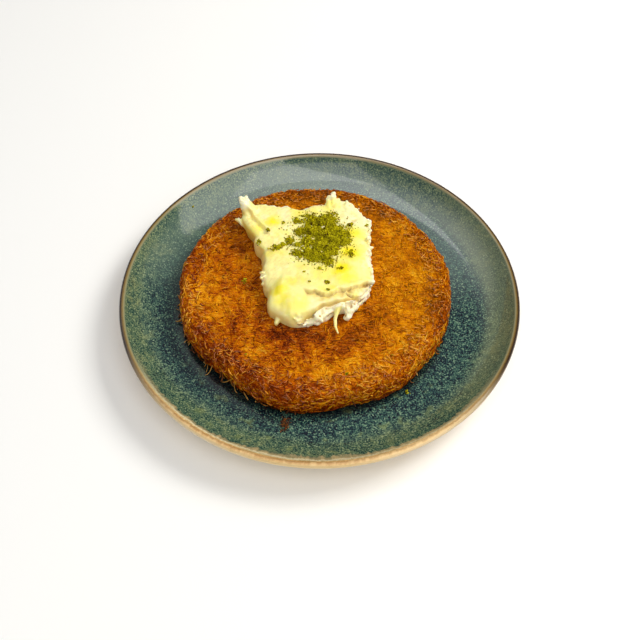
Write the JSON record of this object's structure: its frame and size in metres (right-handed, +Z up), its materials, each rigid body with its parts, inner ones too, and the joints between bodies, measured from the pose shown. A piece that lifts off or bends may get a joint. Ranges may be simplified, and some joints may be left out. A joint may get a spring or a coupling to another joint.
{
  "type": "kunafa on a plate",
  "caption": "Round shredded-pastry kunafa topped with a fold of clotted cream and a heap of ground pistachio, on a shallow glazed stoneware plate.",
  "frame": {"origin": "on the table under the middle of the plate's foot ring", "axes": "+Z up, -Y towards the side that the picture was taken from, +X to the right in it"},
  "size_m": [0.24, 0.24, 0.043],
  "materials": {
    "stoneware": "reactive blue-green glaze with a bare tan lip, glossy",
    "pastry": "browned shredded pastry, glossy with syrup",
    "clotted_cream": "smooth pale yellow with torn white edges",
    "ground_pistachio": "olive green crumbs, dry"
  },
  "bodies": {
    "root": {"plate": "stoneware", "kunafa": "pastry", "cream": "clotted_cream", "pistachio": "ground_pistachio"}
  },
  "joints": []
}
